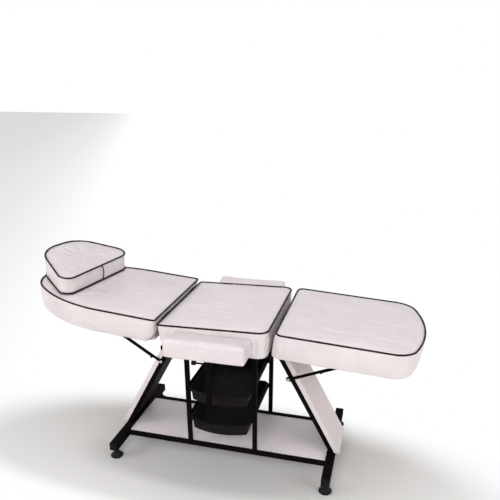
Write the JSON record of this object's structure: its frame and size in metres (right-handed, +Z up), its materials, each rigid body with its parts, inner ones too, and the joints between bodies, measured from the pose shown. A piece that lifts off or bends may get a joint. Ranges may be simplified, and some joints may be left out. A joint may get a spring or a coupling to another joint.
{
  "type": "eyelash extension bed",
  "caption": "Padded treatment bed with hinged backrest and legrest on struts, lifting armrests, loose head pillow and pull-out trays on a welded tube frame.",
  "frame": {"origin": "on the floor, under the middle of the overall length and width", "axes": "+X to the foot end, -Y to the side the trays pull out of, +Z up"},
  "size_m": [1.8453, 0.84, 0.9489],
  "materials": {
    "upholstery_white": "satin",
    "piping_black": "satin",
    "plywood": "matte",
    "laminate_white": "satin",
    "plastic_black": "satin",
    "foot_black": "matte",
    "bolt_silver": "polished",
    "frame_black": "satin"
  },
  "bodies": {
    "base": {"foot_beam_head": "frame_black", "foot_beam_foot": "frame_black", "beam_end_caps": "plastic_black", "base_rail_front": "frame_black", "base_rail_rear": "frame_black", "shelf_board": "laminate_white", "post_head_front": "frame_black", "post_head_rear": "frame_black", "post_foot_front": "frame_black", "post_foot_rear": "frame_black", "leg_tubes_head": "frame_black", "leg_tubes_foot": "frame_black", "leg_backing_head": "frame_black", "leg_backing_foot": "frame_black", "leg_panel_head": "laminate_white", "leg_panel_foot": "laminate_white", "strut_pivot_bolts": "bolt_silver", "seat_frame": "frame_black", "seat_board": "plywood", "seat_cushion": "upholstery_white", "seat_piping": "piping_black", "backrest_hinge_fixed_leaves": "frame_black", "legrest_hinge_fixed_leaves": "frame_black", "armrest_bracket_front": "frame_black", "armrest_bracket_rear": "frame_black", "tray_runner_upper_head": "frame_black", "tray_runner_upper_foot": "frame_black", "tray_runner_lower_head": "frame_black", "tray_runner_lower_foot": "frame_black"},
    "backrest": {"backrest_cushion": "upholstery_white", "backrest_board": "plywood", "backrest_piping": "piping_black", "backrest_hinge_leaves": "frame_black", "backrest_strut_brackets": "frame_black"},
    "legrest": {"legrest_cushion": "upholstery_white", "legrest_board": "plywood", "legrest_piping": "piping_black", "legrest_hinge_leaves": "frame_black", "legrest_strut_brackets": "frame_black"},
    "backrest_strut_lower": {"backrest_strut_lower": "frame_black"},
    "backrest_strut_upper": {"backrest_strut_upper": "frame_black"},
    "legrest_strut_lower": {"legrest_strut_lower": "frame_black"},
    "legrest_strut_upper": {"legrest_strut_upper": "frame_black"},
    "head_pillow": {"pillow": "upholstery_white", "pillow_piping": "piping_black"},
    "tray_upper": {"tray_upper": "plastic_black"},
    "tray_lower": {"tray_lower": "plastic_black"},
    "armrest_front": {"armrest_pad_front": "upholstery_white", "armrest_stem_front": "frame_black"},
    "armrest_knob_front": {"armrest_knob_front": "plastic_black"},
    "armrest_rear": {"armrest_pad_rear": "upholstery_white", "armrest_stem_rear": "frame_black"},
    "armrest_knob_rear": {"armrest_knob_rear": "plastic_black"},
    "glide_foot_head_front": {"glide_foot_head_front": "foot_black"},
    "glide_foot_head_rear": {"glide_foot_head_rear": "foot_black"},
    "glide_foot_foot_front": {"glide_foot_foot_front": "foot_black"},
    "glide_foot_foot_rear": {"glide_foot_foot_rear": "foot_black"}
  },
  "joints": [
    {"name": "backrest_recline", "type": "hinge", "parent": "base", "child": "backrest", "pos_m": [-0.2074, 0, 0.748], "axis": [0, 1, 0], "range_deg": [0, 60]},
    {"name": "legrest_drop", "type": "hinge", "parent": "base", "child": "legrest", "pos_m": [0.3016, 0, 0.643], "axis": [0, 1, 0], "range_deg": [0, 45]},
    {"name": "backrest_strut_lower_swing", "type": "hinge", "parent": "base", "child": "backrest_strut_lower", "pos_m": [-0.2744, 0, 0.472], "axis": [0, 1, 0], "range_deg": [0, 38.45]},
    {"name": "backrest_strut_upper_swing", "type": "hinge", "parent": "backrest", "child": "backrest_strut_upper", "pos_m": [-0.57406, 0, 0.66352], "axis": [0, 1, 0], "range_deg": [-21.55, 0]},
    {"name": "legrest_strut_lower_swing", "type": "hinge", "parent": "base", "child": "legrest_strut_lower", "pos_m": [0.34959, 0, 0.462], "axis": [0, 1, 0], "range_deg": [0, 54.64]},
    {"name": "legrest_strut_upper_swing", "type": "hinge", "parent": "legrest", "child": "legrest_strut_upper", "pos_m": [0.66758, 0, 0.59802], "axis": [0, 1, 0], "range_deg": [0, 9.64]},
    {"name": "pillow_lift_off", "type": "slide", "parent": "backrest", "child": "head_pillow", "axis": [0.0863, 0, 0.9963], "range_m": [0, 0.15]},
    {"name": "tray_upper_slide", "type": "slide", "parent": "base", "child": "tray_upper", "axis": [0, -1, 0], "range_m": [0, 0.09]},
    {"name": "tray_lower_slide", "type": "slide", "parent": "base", "child": "tray_lower", "axis": [0, -1, 0], "range_m": [0, 0.25]},
    {"name": "armrest_front_lift", "type": "slide", "parent": "base", "child": "armrest_front", "axis": [0, 0, 1], "range_m": [0, 0.15]},
    {"name": "knob_front_turn", "type": "hinge", "parent": "base", "child": "armrest_knob_front", "pos_m": [-0.0114, -0.355, 0.627], "axis": [-1, 0, 0], "range_deg": [0, 360]},
    {"name": "armrest_rear_lift", "type": "slide", "parent": "base", "child": "armrest_rear", "axis": [0, 0, 1], "range_m": [0, 0.15]},
    {"name": "knob_rear_turn", "type": "hinge", "parent": "base", "child": "armrest_knob_rear", "pos_m": [-0.0114, 0.355, 0.627], "axis": [-1, 0, 0], "range_deg": [0, 360]},
    {"name": "level_foot_head_front_turn", "type": "hinge", "parent": "base", "child": "glide_foot_head_front", "pos_m": [-0.4744, -0.275, 0.024], "axis": [0, 0, 1], "continuous": true},
    {"name": "level_foot_head_rear_turn", "type": "hinge", "parent": "base", "child": "glide_foot_head_rear", "pos_m": [-0.4744, 0.275, 0.024], "axis": [0, 0, 1], "continuous": true},
    {"name": "level_foot_foot_front_turn", "type": "hinge", "parent": "base", "child": "glide_foot_foot_front", "pos_m": [0.5656, -0.275, 0.024], "axis": [0, 0, 1], "continuous": true},
    {"name": "level_foot_foot_rear_turn", "type": "hinge", "parent": "base", "child": "glide_foot_foot_rear", "pos_m": [0.5656, 0.275, 0.024], "axis": [0, 0, 1], "continuous": true}
  ],
  "couplings": [
    {"joint": "backrest_strut_lower_swing", "follows": "backrest_recline", "ratio": 0.64079},
    {"joint": "backrest_strut_upper_swing", "follows": "backrest_recline", "ratio": -0.35921},
    {"joint": "legrest_strut_lower_swing", "follows": "legrest_drop", "ratio": 1.2142},
    {"joint": "legrest_strut_upper_swing", "follows": "legrest_drop", "ratio": 0.21417}
  ]
}
